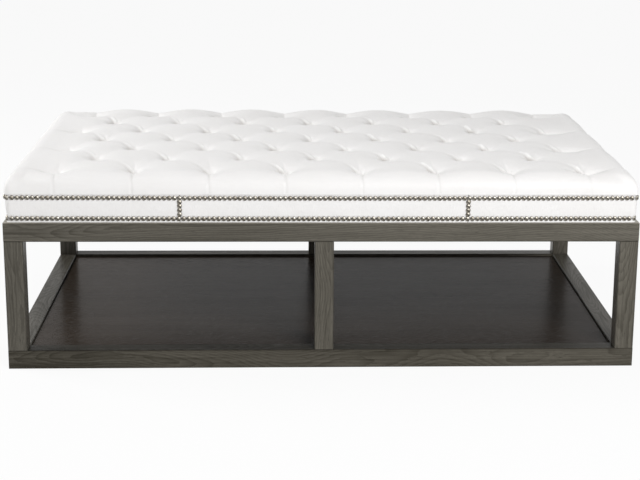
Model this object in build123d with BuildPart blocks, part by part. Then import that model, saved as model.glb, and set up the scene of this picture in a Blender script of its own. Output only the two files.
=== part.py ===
from build123d import *

import os
from math import asin, degrees, hypot, radians, tan

# Tufted ottoman coffee table: an oak frame of square stock with a recessed shelf,
# and a leather top, diamond tufted, on its own timber platform.
# Millimetres. Origin on the floor at the centre of the footprint, +X right, +Y back, +Z up.

os.makedirs("parts", exist_ok=True)

# Overall sizes
length = 1524.0
depth = 960.0
frame_height = 363.0
crest_height = 489.0

# Frame stock and joinery
stock = 46.0
arris = 1.5
leg_tenon_length = 18.0
rail_tenon_length = 24.0
tenon_width = 26.0
tenon_thickness = 12.0
glue_gap = 0.15
mortise_relief = 1.0
cross_rail_height = 30.0
corner_block_leg = 90.0
corner_block_height = 22.0

# Shelf
shelf_recess = 6.0
shelf_thickness = 18.0
shelf_gap = 1.5
shelf_arris = 1.0
cleat_width = 18.0
cleat_height = 18.0
cleat_gap = 0.5

# Platform under the upholstery
platform_inset = 13.0
platform_corner = 5.0
board_thickness = 20.0
deck_thickness = 15.0
deck_top = 436.0
post_width = 45.0
dust_cover_thickness = 0.8
dust_cover_inset = 18.0
dust_cover_slit = 7.0
soft_gap = 0.3

# Screws that hold the platform on the frame
screw_diameter = 6.0
screw_grip = 25.0
screw_clearance = 0.3
screw_head_diameter = 12.0
screw_head_height = 4.0
screw_head_sides = 6
screw_from_corner = 16.0

# Leather band round the platform
band_top = 431.0
band_foot_inset = 10.0
band_lip_inset = 5.5
band_foot_corner = 8.0
band_lip_corner = 10.0
band_seam = 345.0
band_seam_gap = 0.5

# Tufted cover
tuft_columns = 8
tuft_rows = 7
tuft_margin_x = 121.5
tuft_margin_y = 94.5
flute_rise = 13.0
dimple_depth = 13.0
dimple_floor_radius = 4.0
dimple_sides = 6
waist_inset = 6.0
edge_inset = 4.0
roll_radius = 48.0
cover_corner = 24.0
roll_turn = 75.0
crown_excess = 2.0
pleat_depth = 6.0
pleat_flank = 8.0
pleat_half_width = 12.0
pleat_turn = 60.0
foam_inset = 36.0
foam_thickness = 22.0

# Ties that draw the tufts down
tie_radius = 1.5
tie_slit = 4.0
tie_tail = 4.0
tie_sides = 6
tie_hole_radius = 4.0
tie_hole_sides = 6
washer_width = 16.0
washer_thickness = 2.0

# One overrun serves every cut
overrun = 6.0

# Places worked out from the sizes above
half_length = length / 2
half_depth = depth / 2
inner_half_length = half_length - stock
inner_half_depth = half_depth - stock
end_leg_x = half_length - stock / 2
rail_line_y = half_depth - stock / 2
leg_places = {"left": -end_leg_x, "centre": 0.0, "right": end_leg_x}
sides = {"front": -1, "back": 1}
ends = {"left": -1, "right": 1}
leg_length = frame_height - 2 * stock
mortise_width = tenon_width + 2 * glue_gap
mortise_thickness = tenon_thickness + 2 * glue_gap
leg_pocket = leg_tenon_length + mortise_relief
cross_pocket = rail_tenon_length + mortise_relief
shelf_top = stock - shelf_recess
shelf_bottom = shelf_top - shelf_thickness
high_tenon_z = frame_height - cross_rail_height / 2
low_tenon_z = shelf_bottom - cleat_height / 2
platform_bottom = frame_height + dust_cover_thickness + 2 * soft_gap
deck_bottom = deck_top - deck_thickness
platform_half_length = half_length - platform_inset
platform_half_depth = half_depth - platform_inset
board_height = deck_bottom - platform_bottom
block_bottom = frame_height - corner_block_height
pitch_x = (length - 2 * tuft_margin_x) / (tuft_columns - 1)
pitch_y = (depth - 2 * tuft_margin_y) / (tuft_rows - 1)
tuft_half_x = half_length - tuft_margin_x
tuft_half_y = half_depth - tuft_margin_y
half_rows = (tuft_rows - 1) // 2
bearer_y = 1.5 * pitch_y
screw_corner_x = inner_half_length - screw_from_corner
screw_corner_y = inner_half_depth - screw_from_corner

tufts = [
    (-tuft_half_x + (column + row % 2 / 2) * pitch_x, -tuft_half_y + row * pitch_y)
    for row in range(tuft_rows)
    for column in range(tuft_columns - row % 2)
]
screw_places = [
    (side_x * screw_corner_x, side_y * screw_corner_y) for side_x in (-1, 1) for side_y in (-1, 1)
] + [(0, -bearer_y), (0, bearer_y)]


# Long rails: the front and back ones, top and bottom, run the full length and cap the legs
for level in ("top", "bottom"):
    for side_name, side in sides.items():
        rail_base = frame_height - stock if level == "top" else 0
        leg_face = rail_base if level == "top" else stock
        into_rail = 1 if level == "top" else -1
        cross_z = high_tenon_z if level == "top" else low_tenon_z
        with BuildPart() as long_rail:
            with Locations((0, side * rail_line_y, rail_base + stock / 2)):
                Box(length, stock, stock)
            chamfer(long_rail.edges().filter_by(Axis.X), arris)
            leg_pocket_z = leg_face + into_rail * leg_pocket / 2
            with Locations(*[(x, side * rail_line_y, leg_pocket_z) for x in leg_places.values()]):
                Box(mortise_width, mortise_thickness, leg_pocket, mode=Mode.SUBTRACT)
            cross_pocket_y = side * (inner_half_depth + cross_pocket / 2)
            with Locations(*[(x, cross_pocket_y, cross_z) for x in leg_places.values()]):
                Box(mortise_width, cross_pocket, mortise_thickness, mode=Mode.SUBTRACT)
        long_rail.part.label = f"{level}_rail_{side_name}"
        export_step(long_rail.part, f"parts/{level}_rail_{side_name}.step")


# Short rails: between the long ones at each end, tenoned into them
for level in ("top", "bottom"):
    for end_name, end in ends.items():
        rail_base = frame_height - stock if level == "top" else 0
        cross_z = high_tenon_z if level == "top" else low_tenon_z
        with BuildPart() as short_rail:
            with Locations((end * end_leg_x, 0, rail_base + stock / 2)):
                Box(stock, 2 * inner_half_depth, stock)
            chamfer(short_rail.edges().filter_by(Axis.Y), arris)
            with Locations((end * end_leg_x, 0, cross_z)):
                Box(tenon_width, 2 * (inner_half_depth + rail_tenon_length), tenon_thickness)
        short_rail.part.label = f"{level}_rail_{end_name}"
        export_step(short_rail.part, f"parts/{level}_rail_{end_name}.step")


# Legs: three at the front and three at the back, standing on the bottom rails
for side_name, side in sides.items():
    for place_name, place_x in leg_places.items():
        with BuildPart() as leg:
            with Locations((place_x, side * rail_line_y, stock + leg_length / 2)):
                Box(stock, stock, leg_length)
            chamfer(leg.edges().filter_by(Axis.Z), arris)
            with Locations((place_x, side * rail_line_y, stock + leg_length / 2)):
                Box(tenon_width, tenon_thickness, leg_length + 2 * leg_tenon_length)
        leg.part.label = f"leg_{side_name}_{place_name}"
        export_step(leg.part, f"parts/leg_{side_name}_{place_name}.step")


# Cross rail under the upholstered top, drilled and counterbored for two screws
with BuildPart() as cross_rail:
    with Locations((0, 0, high_tenon_z)):
        Box(stock, 2 * inner_half_depth, cross_rail_height)
    chamfer(cross_rail.edges().filter_by(Axis.Y), arris)
    with Locations((0, 0, high_tenon_z)):
        Box(tenon_width, 2 * (inner_half_depth + rail_tenon_length), tenon_thickness)
    underside = Plane(origin=(0, 0, frame_height - cross_rail_height), z_dir=(0, 0, -1))
    with Locations(underside):
        with Locations((0, -bearer_y), (0, bearer_y)):
            CounterBoreHole(
                radius=screw_diameter / 2 + screw_clearance,
                counter_bore_radius=screw_head_diameter / 2 + screw_clearance,
                counter_bore_depth=cross_rail_height - corner_block_height,
            )
cross_rail.part.label = "top_cross_rail"
export_step(cross_rail.part, "parts/top_cross_rail.step")


# Corner blocks inside the top of the frame
with BuildPart() as corner_blocks:
    with BuildSketch(Plane.XY.offset(block_bottom)):
        with BuildLine():
            Polyline(
                (inner_half_length, inner_half_depth),
                (inner_half_length - corner_block_leg, inner_half_depth),
                (inner_half_length, inner_half_depth - corner_block_leg),
                close=True,
            )
        make_face()
    extrude(amount=corner_block_height)
    with Locations((screw_corner_x, screw_corner_y, block_bottom + corner_block_height / 2)):
        Hole(radius=screw_diameter / 2 + screw_clearance, depth=corner_block_height)
    mirror(about=Plane.XZ)
    mirror(about=Plane.YZ)
corner_blocks.part.label = "frame_corner_blocks"
export_step(corner_blocks.part, "parts/frame_corner_blocks.step")


# Shelf: a panel set a little below the rails, on cleats and a centre bearer
with BuildPart() as shelf:
    with Locations((0, 0, shelf_bottom + shelf_thickness / 2)):
        Box(2 * (inner_half_length - shelf_gap), 2 * (inner_half_depth - shelf_gap), shelf_thickness)
    chamfer(shelf.faces().sort_by(Axis.Z)[-1].edges(), shelf_arris)
shelf.part.label = "shelf_panel"
export_step(shelf.part, "parts/shelf_panel.step")

with BuildPart() as shelf_bearer:
    with Locations((0, 0, low_tenon_z)):
        Box(stock, 2 * inner_half_depth, cleat_height)
        Box(tenon_width, 2 * (inner_half_depth + rail_tenon_length), tenon_thickness)
shelf_bearer.part.label = "shelf_bearer"
export_step(shelf_bearer.part, "parts/shelf_bearer.step")

long_cleat = inner_half_length - stock / 2 - cleat_width - 2 * cleat_gap
with BuildPart() as cleats:
    long_cleat_x = stock / 2 + cleat_gap + long_cleat / 2
    with Locations((long_cleat_x, inner_half_depth - cleat_width / 2, low_tenon_z)):
        Box(long_cleat, cleat_width, cleat_height)
    mirror(about=Plane.XZ)
    with Locations((inner_half_length - cleat_width / 2, 0, low_tenon_z)):
        Box(cleat_width, 2 * inner_half_depth, cleat_height)
    mirror(about=Plane.YZ)
cleats.part.label = "shelf_cleats"
export_step(cleats.part, "parts/shelf_cleats.step")


# Platform: boards on edge under a plywood deck, with glue blocks in the corners
board_z = platform_bottom + board_height / 2
for side_name, side in sides.items():
    with BuildPart() as seat_rail:
        with Locations((0, side * (platform_half_depth - board_thickness / 2), board_z)):
            Box(2 * platform_half_length, board_thickness, board_height)
        fillet(seat_rail.edges().filter_by(Axis.Z).group_by(Axis.Y)[0 if side < 0 else -1], platform_corner)
    seat_rail.part.label = f"seat_rail_{side_name}"
    export_step(seat_rail.part, f"parts/seat_rail_{side_name}.step")

for end_name, end in ends.items():
    with BuildPart() as seat_end:
        with Locations((end * (platform_half_length - board_thickness / 2), 0, board_z)):
            Box(board_thickness, 2 * (platform_half_depth - board_thickness), board_height)
    seat_end.part.label = f"seat_rail_{end_name}"
    export_step(seat_end.part, f"parts/seat_rail_{end_name}.step")

for side_name, side in sides.items():
    with BuildPart() as seat_bearer:
        with Locations((0, side * bearer_y, board_z)):
            Box(2 * (platform_half_length - board_thickness), board_thickness, board_height)
        with Locations((0, side * bearer_y, platform_bottom + screw_grip / 2)):
            Hole(radius=screw_diameter / 2, depth=screw_grip / 2)
    seat_bearer.part.label = f"seat_bearer_{side_name}"
    export_step(seat_bearer.part, f"parts/seat_bearer_{side_name}.step")

with BuildPart() as posts:
    post_x = platform_half_length - board_thickness - post_width / 2
    post_y = platform_half_depth - board_thickness - post_width / 2
    with Locations((post_x, post_y, board_z)):
        Box(post_width, post_width, board_height)
    with Locations((screw_corner_x, screw_corner_y, platform_bottom + screw_grip / 2)):
        Hole(radius=screw_diameter / 2, depth=screw_grip / 2)
    mirror(about=Plane.XZ)
    mirror(about=Plane.YZ)
posts.part.label = "seat_corner_posts"
export_step(posts.part, "parts/seat_corner_posts.step")

with BuildPart() as deck:
    with BuildSketch(Plane.XY.offset(deck_bottom)):
        RectangleRounded(2 * platform_half_length, 2 * platform_half_depth, platform_corner)
        with Locations(*tufts):
            RegularPolygon(tie_hole_radius, tie_hole_sides, mode=Mode.SUBTRACT)
    extrude(amount=deck_thickness)
deck.part.label = "deck_panel"
export_step(deck.part, "parts/deck_panel.step")

with BuildPart() as screws:
    shank_bottom = block_bottom
    shank_length = platform_bottom + screw_grip - shank_bottom
    with Locations(*[(x, y, shank_bottom + shank_length / 2) for x, y in screw_places]):
        Cylinder(screw_diameter / 2, shank_length)
    with BuildSketch(Plane.XY.offset(shank_bottom)):
        with Locations(*screw_places):
            RegularPolygon(screw_head_diameter / 2, screw_head_sides)
    extrude(amount=-screw_head_height)
screws.part.label = "platform_screws"
export_step(screws.part, "parts/platform_screws.step")

with BuildPart() as dust_cover:
    with BuildSketch(Plane.XY.offset(frame_height + soft_gap)):
        Rectangle(length - 2 * dust_cover_inset, depth - 2 * dust_cover_inset)
        with Locations(*screw_places):
            Rectangle(dust_cover_slit, dust_cover_slit, mode=Mode.SUBTRACT)
    extrude(amount=dust_cover_thickness)
dust_cover.part.label = "dust_cover"
export_step(dust_cover.part, "parts/dust_cover.step")


# Leather band: four panels round the platform, leaning out to the lip, seamed front and back
band_bottom = frame_height + soft_gap
lining = (2 * (platform_half_length + soft_gap), 2 * (platform_half_depth + soft_gap))
with BuildPart() as band_ring:
    with BuildSketch(Plane.XY.offset(band_bottom)):
        RectangleRounded(length - 2 * band_foot_inset, depth - 2 * band_foot_inset, band_foot_corner)
    with BuildSketch(Plane.XY.offset(band_top)):
        RectangleRounded(length - 2 * band_lip_inset, depth - 2 * band_lip_inset, band_lip_corner)
    loft(ruled=True)
    with BuildSketch(Plane.XY.offset(band_bottom)):
        RectangleRounded(*lining, platform_corner + soft_gap)
    extrude(amount=band_top - band_bottom, mode=Mode.SUBTRACT)

for side_name, side in sides.items():
    with BuildPart() as band:
        add(band_ring.part)
        with Locations((0, side * half_depth, band_bottom)):
            Box(2 * band_seam - band_seam_gap, depth, 2 * frame_height, mode=Mode.INTERSECT)
    band.part.label = f"band_{side_name}"
    export_step(band.part, f"parts/band_{side_name}.step")

for end_name, end in ends.items():
    with BuildPart() as band:
        add(band_ring.part)
        with Locations((end * (band_seam + band_seam_gap / 2 + half_length), 0, band_bottom)):
            Box(length, 2 * depth, 2 * frame_height, mode=Mode.INTERSECT)
    band.part.label = f"band_{end_name}"
    export_step(band.part, f"parts/band_{end_name}.step")


# Foam slab, slit where the ties pass
foam_bottom = deck_top + soft_gap
with BuildPart() as foam:
    with BuildSketch(Plane.XY.offset(foam_bottom)):
        Rectangle(length - 2 * foam_inset, depth - 2 * foam_inset)
        with Locations(*tufts):
            Rectangle(tie_slit, tie_slit, mode=Mode.SUBTRACT)
    extrude(amount=foam_thickness)
foam.part.label = "foam_slab"
export_step(foam.part, "parts/foam_slab.step")


# Ties and washers under every tuft
foam_top = foam_bottom + foam_thickness
washer_bottom = deck_bottom - washer_thickness
with BuildPart() as ties:
    with BuildSketch(Plane.XY.offset(washer_bottom - tie_tail)):
        with Locations(*tufts):
            RegularPolygon(tie_radius, tie_sides)
    extrude(amount=foam_top - washer_bottom + tie_tail)
ties.part.label = "tuft_ties"
export_step(ties.part, "parts/tuft_ties.step")

with BuildPart() as washers:
    with BuildSketch(Plane.XY.offset(washer_bottom)):
        with Locations(*tufts):
            Rectangle(washer_width, washer_width)
            Rectangle(tie_slit, tie_slit, mode=Mode.SUBTRACT)
    extrude(amount=washer_thickness)
washers.part.label = "tuft_washers"
export_step(washers.part, "parts/tuft_washers.step")


# Tufted cover. Two sets of flutes cross on the diagonals between the tufts, so what is left
# is a field of diamonds. Each flute is an arc of a circle, and a cut along or across the
# table shows it as an arc of an ellipse, which the borders carry on to the edge.
valley_z = crest_height - flute_rise
ceiling_z = crest_height + overrun
diagonal = hypot(pitch_x / 2, pitch_y)
along_x = pitch_x / 2 / diagonal
along_y = pitch_y / diagonal
flute_width = pitch_x * along_y
flute_radius = (flute_width**2 / 4 + flute_rise**2) / (2 * flute_rise)
flute_axis_z = crest_height - flute_radius
flute_edge_angle = degrees(asin((flute_radius - flute_rise) / flute_radius))
flute_turn = 90 - flute_edge_angle

with BuildPart() as diamond_cut:
    diagonal_plane = Plane(
        origin=(-tuft_half_x, -tuft_half_y, 0), x_dir=(-along_y, along_x, 0), z_dir=(along_x, along_y, 0)
    )
    first_flute = 1 - tuft_columns
    with BuildSketch(diagonal_plane):
        with BuildLine():
            for flute in range(first_flute, half_rows):
                flute_axis = ((flute + 0.5) * flute_width, flute_axis_z)
                CenterArc(flute_axis, flute_radius, flute_edge_angle, 2 * flute_turn)
            Polyline(
                (first_flute * flute_width, valley_z),
                (first_flute * flute_width, ceiling_z),
                (half_rows * flute_width, ceiling_z),
                (half_rows * flute_width, valley_z),
            )
        make_face()
    extrude(amount=2 * (tuft_half_x * along_x + tuft_half_y * along_y) + overrun, both=True)
    mirror(about=Plane.YZ)
    with Locations((0, 0, ceiling_z)):
        Box(2 * tuft_half_x, 2 * tuft_half_y, 4 * (flute_rise + overrun), mode=Mode.INTERSECT)


def border_flutes(period, half_span, count):
    """Ellipse arcs along a sketch's x axis, with half a flute beyond each end."""
    x_radius = flute_radius * period / flute_width
    for flute in range(-1, count + 1):
        start_angle = 90 if flute == count else flute_edge_angle
        turn = 2 * flute_turn if 0 <= flute < count else flute_turn
        EllipticalCenterArc(
            center=(-half_span + (flute + 0.5) * period, flute_axis_z),
            x_radius=x_radius,
            y_radius=flute_radius,
            start_angle=start_angle,
            arc_size=turn,
        )
    reach = half_span + period / 2
    far = reach + period
    Polyline(
        (-reach, crest_height),
        (-far, crest_height),
        (-far, ceiling_z),
        (far, ceiling_z),
        (far, crest_height),
        (reach, crest_height),
    )


with BuildPart() as end_border_cut:
    with BuildSketch(Plane.XZ.offset(tuft_half_y)):
        with BuildLine():
            border_flutes(pitch_x, tuft_half_x, tuft_columns - 1)
        make_face()
    extrude(amount=tuft_margin_y + overrun)
    mirror(about=Plane.XZ)

with BuildPart() as side_border_cut:
    with BuildSketch(Plane.YZ.offset(tuft_half_x)):
        with BuildLine():
            border_flutes(2 * pitch_y, tuft_half_y, half_rows)
        make_face()
    extrude(amount=tuft_margin_x + overrun)
    mirror(about=Plane.YZ)

# Pleats over the roll: a groove that turns round the roll and drops to the upper nail row
roll_z = crest_height - roll_radius
cover_bottom = band_top + soft_gap
pleat_drop = roll_z - cover_bottom + overrun


def pleat_groove(half_span):
    """The section of a pleat's groove at the foot of the roll."""
    face_u = half_span - edge_inset
    Polyline(
        (face_u + pleat_flank, -pleat_half_width),
        (face_u - pleat_depth, 0),
        (face_u + pleat_flank, pleat_half_width),
        close=True,
    )


with BuildPart() as back_pleat_cut:
    with BuildSketch(Plane(origin=(0, 0, roll_z), x_dir=(0, 1, 0), z_dir=(0, 0, 1))) as groove:
        with BuildLine():
            pleat_groove(half_depth)
        make_face()
    extrude(groove.sketch, amount=-pleat_drop)
    roll_axis = Axis((0, half_depth - edge_inset - roll_radius, roll_z), (1, 0, 0))
    revolve(axis=roll_axis, revolution_arc=pleat_turn)
    mirror(about=Plane.XZ)

with BuildPart() as right_pleat_cut:
    with BuildSketch(Plane(origin=(0, 0, roll_z), x_dir=(1, 0, 0), z_dir=(0, 0, 1))) as groove:
        with BuildLine():
            pleat_groove(half_length)
        make_face()
    extrude(groove.sketch, amount=-pleat_drop)
    roll_axis = Axis((half_length - edge_inset - roll_radius, 0, roll_z), (0, -1, 0))
    revolve(axis=roll_axis, revolution_arc=pleat_turn)
    mirror(about=Plane.YZ)

# A dimple that draws each tuft down: a prism with its lower edges cut back to a small floor
dimple_cut = dimple_depth + flute_rise
with BuildPart() as dimple:
    with BuildSketch(Plane.XY.offset(valley_z - dimple_depth)):
        RegularPolygon(dimple_floor_radius + dimple_cut, dimple_sides, major_radius=False)
    extrude(amount=dimple_cut + overrun)
    chamfer(dimple.faces().sort_by(Axis.Z)[0].edges(), dimple_cut)


def roll_section(half_span):
    """A section of the cover: drawn in at the waist, then a roll up to the crown."""
    side_u = half_span - edge_inset
    right_roll = CenterArc((side_u - roll_radius, roll_z), roll_radius, 0, roll_turn)
    left_roll = CenterArc((roll_radius - side_u, roll_z), roll_radius, 180 - roll_turn, roll_turn)
    crown_z = crest_height + crown_excess
    crown_u = (right_roll @ 1).X - (crown_z - (right_roll @ 1).Y) * tan(radians(roll_turn))
    Polyline(right_roll @ 1, (crown_u, crown_z), (-crown_u, crown_z), left_roll @ 0)
    Polyline(
        left_roll @ 1,
        (waist_inset - half_span, cover_bottom),
        (half_span - waist_inset, cover_bottom),
        right_roll @ 0,
    )


with BuildPart() as cover:
    with BuildSketch(Plane.YZ):
        with BuildLine():
            roll_section(half_depth)
        make_face()
    extrude(amount=half_length, both=True)
    with BuildSketch(Plane.XZ):
        with BuildLine():
            roll_section(half_length)
        make_face()
    extrude(amount=half_depth, both=True, mode=Mode.INTERSECT)
    with BuildSketch(Plane.XY.offset(cover_bottom)):
        RectangleRounded(length - 2 * edge_inset, depth - 2 * edge_inset, cover_corner)
    extrude(amount=ceiling_z - cover_bottom, mode=Mode.INTERSECT)
    add(end_border_cut.part, mode=Mode.SUBTRACT)
    add(side_border_cut.part, mode=Mode.SUBTRACT)
    add(diamond_cut.part, mode=Mode.SUBTRACT)
    with Locations(*[(-tuft_half_x + column * pitch_x, 0, 0) for column in range(tuft_columns)]):
        add(back_pleat_cut.part, mode=Mode.SUBTRACT)
    with Locations(*[(0, -tuft_half_y + 2 * row * pitch_y, 0) for row in range(half_rows + 1)]):
        add(right_pleat_cut.part, mode=Mode.SUBTRACT)
    with Locations(*tufts):
        add(dimple.part, mode=Mode.SUBTRACT)
    with BuildSketch(Plane.XY.offset(cover_bottom)):
        RectangleRounded(*lining, platform_corner + soft_gap)
    extrude(amount=foam_bottom - cover_bottom, mode=Mode.SUBTRACT)
    with BuildSketch(Plane.XY.offset(foam_bottom)):
        Rectangle(length - 2 * (foam_inset - soft_gap), depth - 2 * (foam_inset - soft_gap))
    extrude(amount=foam_thickness + soft_gap, mode=Mode.SUBTRACT)
cover.part.label = "tufted_cover"
export_step(cover.part, "parts/tufted_cover.step")
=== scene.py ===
from math import cos, pi, radians, sin

import bpy
import numpy as np
from bpy.props import FloatProperty, FloatVectorProperty, IntProperty, PointerProperty
from mathutils import Matrix, Vector


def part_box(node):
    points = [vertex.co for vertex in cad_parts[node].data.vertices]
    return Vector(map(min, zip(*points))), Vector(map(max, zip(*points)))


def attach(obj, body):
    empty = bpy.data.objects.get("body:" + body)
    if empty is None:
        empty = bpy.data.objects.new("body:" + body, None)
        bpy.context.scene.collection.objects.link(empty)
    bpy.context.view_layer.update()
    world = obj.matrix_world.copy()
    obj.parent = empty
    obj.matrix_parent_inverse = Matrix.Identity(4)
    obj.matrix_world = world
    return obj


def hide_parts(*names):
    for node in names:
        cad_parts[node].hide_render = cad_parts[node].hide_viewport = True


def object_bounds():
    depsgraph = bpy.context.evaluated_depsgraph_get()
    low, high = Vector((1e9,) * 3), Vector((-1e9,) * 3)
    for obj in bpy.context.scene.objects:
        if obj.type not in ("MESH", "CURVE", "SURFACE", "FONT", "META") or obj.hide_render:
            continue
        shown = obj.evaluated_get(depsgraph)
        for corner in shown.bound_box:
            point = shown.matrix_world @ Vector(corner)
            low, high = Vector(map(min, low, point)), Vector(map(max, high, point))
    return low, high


bl_info = {
    "name": "Tufted Ottoman Table",
    "version": (1, 0, 0),
    "blender": (4, 5, 0),
    "location": "3D View > Sidebar > Ottoman",
    "description": "Dresses the ottoman table's frame in oak, tufted leather and decorative nails",
    "category": "Object",
}

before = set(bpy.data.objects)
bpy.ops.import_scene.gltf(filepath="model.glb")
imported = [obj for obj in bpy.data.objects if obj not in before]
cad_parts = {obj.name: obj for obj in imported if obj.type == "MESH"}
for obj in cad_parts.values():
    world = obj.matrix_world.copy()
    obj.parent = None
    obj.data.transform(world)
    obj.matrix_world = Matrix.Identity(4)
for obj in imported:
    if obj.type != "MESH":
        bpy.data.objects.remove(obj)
cad_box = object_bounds()

MM = 0.001
HALF_X = cad_box[1].x
HALF_Y = cad_box[1].y
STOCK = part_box("leg_front_left")[1].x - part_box("leg_front_left")[0].x
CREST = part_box("tufted_cover")[1].z
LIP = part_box("tufted_cover")[0].z
BAND_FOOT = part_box("band_front")[0].z
BAND_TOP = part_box("band_front")[1].z
PITCH_X = 183 * MM
PITCH_Y = 128.5 * MM
TUFT_X = 640.5 * MM
TUFT_Y = 385.5 * MM
SEAM_X = 345 * MM
RING_INSET = 0.008
RING_CORNER = 0.009


class LeatherSizes(bpy.types.PropertyGroup):
    """Sizes and colour of the leather."""

    colour: FloatVectorProperty(
        name="Leather colour",
        description="Colour of the finished hide",
        subtype="COLOR",
        default=(0.86, 0.85, 0.845),
    )
    puff: FloatProperty(
        name="Puff",
        description="How far a diamond stands above its pleats",
        default=2.5 * MM,
        unit="LENGTH",
    )
    pleat: FloatProperty(
        name="Pleat rise",
        description="How far the middle of a pleat stands above its tufts",
        default=17 * MM,
        unit="LENGTH",
    )
    pebble: FloatProperty(
        name="Pebble",
        description="Size of the grain of the hide",
        default=1.4 * MM,
        unit="LENGTH",
    )
    sheen: FloatProperty(
        name="Roughness",
        description="How matt the hide is",
        default=0.42,
        subtype="FACTOR",
    )


class NailSizes(bpy.types.PropertyGroup):
    """Sizes of the decorative nails."""

    head: FloatProperty(
        name="Head", description="Diameter of a nail's head", default=11.9 * MM, unit="LENGTH"
    )
    rise: FloatProperty(
        name="Rise", description="Height of a nail's head", default=3.2 * MM, unit="LENGTH"
    )
    pitch: FloatProperty(
        name="Pitch",
        description="Distance from nail to nail",
        default=11.94 * MM,
        unit="LENGTH",
    )
    upper: FloatProperty(
        name="Upper row",
        description="Height of the upper row above the floor",
        default=424 * MM,
        unit="LENGTH",
    )
    lower: FloatProperty(
        name="Lower row",
        description="Height of the lower row above the floor",
        default=373 * MM,
        unit="LENGTH",
    )
    between: IntProperty(
        name="Upright nails",
        description="Nails in each upright line between the rows",
        default=4,
        min=1,
    )


class OakLooks(bpy.types.PropertyGroup):
    """Colours of the oak."""

    light: FloatVectorProperty(
        name="Light wood", description="Early wood", subtype="COLOR", default=(0.138, 0.127, 0.104)
    )
    dark: FloatVectorProperty(
        name="Dark wood", description="Late wood", subtype="COLOR", default=(0.052, 0.047, 0.036)
    )
    pores: FloatVectorProperty(
        name="Pores", description="Open pores", subtype="COLOR", default=(0.022, 0.019, 0.014)
    )
    shelf: FloatVectorProperty(
        name="Shelf",
        description="Colour of the shelf",
        subtype="COLOR",
        default=(0.0325, 0.0245, 0.0185),
    )


# Shared helpers for shader nodes

SIGNS = {"+": "ADD", "-": "SUBTRACT", "*": "MULTIPLY", "/": "DIVIDE"}


class Tree:
    """The node tree of a shader, and short ways to add to it."""

    def __init__(self, tree):
        self.nodes = tree.nodes
        self.links = tree.links

    def node(self, kind, inputs=None, **settings):
        """A new node with its settings made and its sockets filled or linked."""
        made = self.nodes.new("ShaderNode" + kind)
        for key, value in settings.items():
            setattr(made, key, value)
        for key, value in (inputs or {}).items():
            if isinstance(value, bpy.types.NodeSocket):
                self.links.new(value, made.inputs[key])
            else:
                made.inputs[key].default_value = value
        return made

    def join(self, end, values):
        """Links values to the named sockets of a node."""
        for name, value in values.items():
            self.links.new(value, end.inputs[name])

    def calc(self, first, sign, *second, kind="Math", **settings):
        """The result of a math node."""
        settings["operation"] = SIGNS.get(sign, sign)
        return self.node(kind, dict(enumerate((first, *second))), **settings).outputs[0]

    def vectors(self, first, sign, *second):
        """The result of a vector math node."""
        return self.calc(first, sign, *second, kind="VectorMath")

    def split(self, vector):
        """The three parts of a vector."""
        return self.node("SeparateXYZ", {0: vector}).outputs

    def attribute(self, name):
        """The value of an attribute of the mesh."""
        return self.node("Attribute", attribute_name=name).outputs["Fac"]

    def remap(self, value, low, high, to_low=0.0, to_high=1.0):
        """A value eased from one range to another."""
        inputs = {"Value": value, "From Min": low, "From Max": high}
        inputs.update({"To Min": to_low, "To Max": to_high})
        return self.node("MapRange", inputs, interpolation_type="SMOOTHSTEP").outputs["Result"]

    def noise(self, vector, scale, detail=3.0, roughness=0.5, output=0):
        """The value of a noise texture, scaled alike or by axis, or its colour as output 1."""
        if isinstance(scale, tuple):
            vector, scale = self.vectors(vector, "*", scale), 1.0
        inputs = {"Vector": vector, "Scale": scale, "Detail": detail, "Roughness": roughness}
        return self.node("TexNoise", inputs).outputs[output]

    def blend(self, share, *colours):
        """Two colours mixed by a share."""
        first, second = (
            colour if isinstance(colour, bpy.types.NodeSocket) else (*colour[:3], 1.0)
            for colour in colours
        )
        return self.node("Mix", {0: share, 6: first, 7: second}, data_type="RGBA").outputs[2]

    def group(self, make, inputs):
        """A shared group placed in the tree, made the first time."""
        if make.__name__ not in bpy.data.node_groups:
            make()
        shared = bpy.data.node_groups[make.__name__]
        return self.node("Group", inputs, node_tree=shared).outputs

    def finish(self, shader, colour, height, depth, matt=None):
        """Gives a shader its colour, roughness and bumps, whose depth is for a height of one."""
        bumps = self.node("Bump", {"Height": height, "Distance": depth, "Strength": 1.0})
        self.join(shader, {"Base Color": colour, "Normal": bumps.outputs[0]})
        if matt is not None:
            self.join(shader, {"Roughness": matt})


def new_group(name, inputs, outputs):
    """An empty shader group with named sockets, and the sockets that are given to it."""
    made = bpy.data.node_groups.new(name, "ShaderNodeTree")
    for key, default in inputs.items():
        kind = "NodeSocketFloat" if isinstance(default, float) else "NodeSocketVector"
        made.interface.new_socket(key, in_out="INPUT", socket_type=kind).default_value = default
    for key in outputs:
        made.interface.new_socket(key, in_out="OUTPUT", socket_type="NodeSocketFloat")
    return Tree(made), made.nodes.new("NodeGroupInput").outputs, made.nodes.new("NodeGroupOutput")


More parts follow.
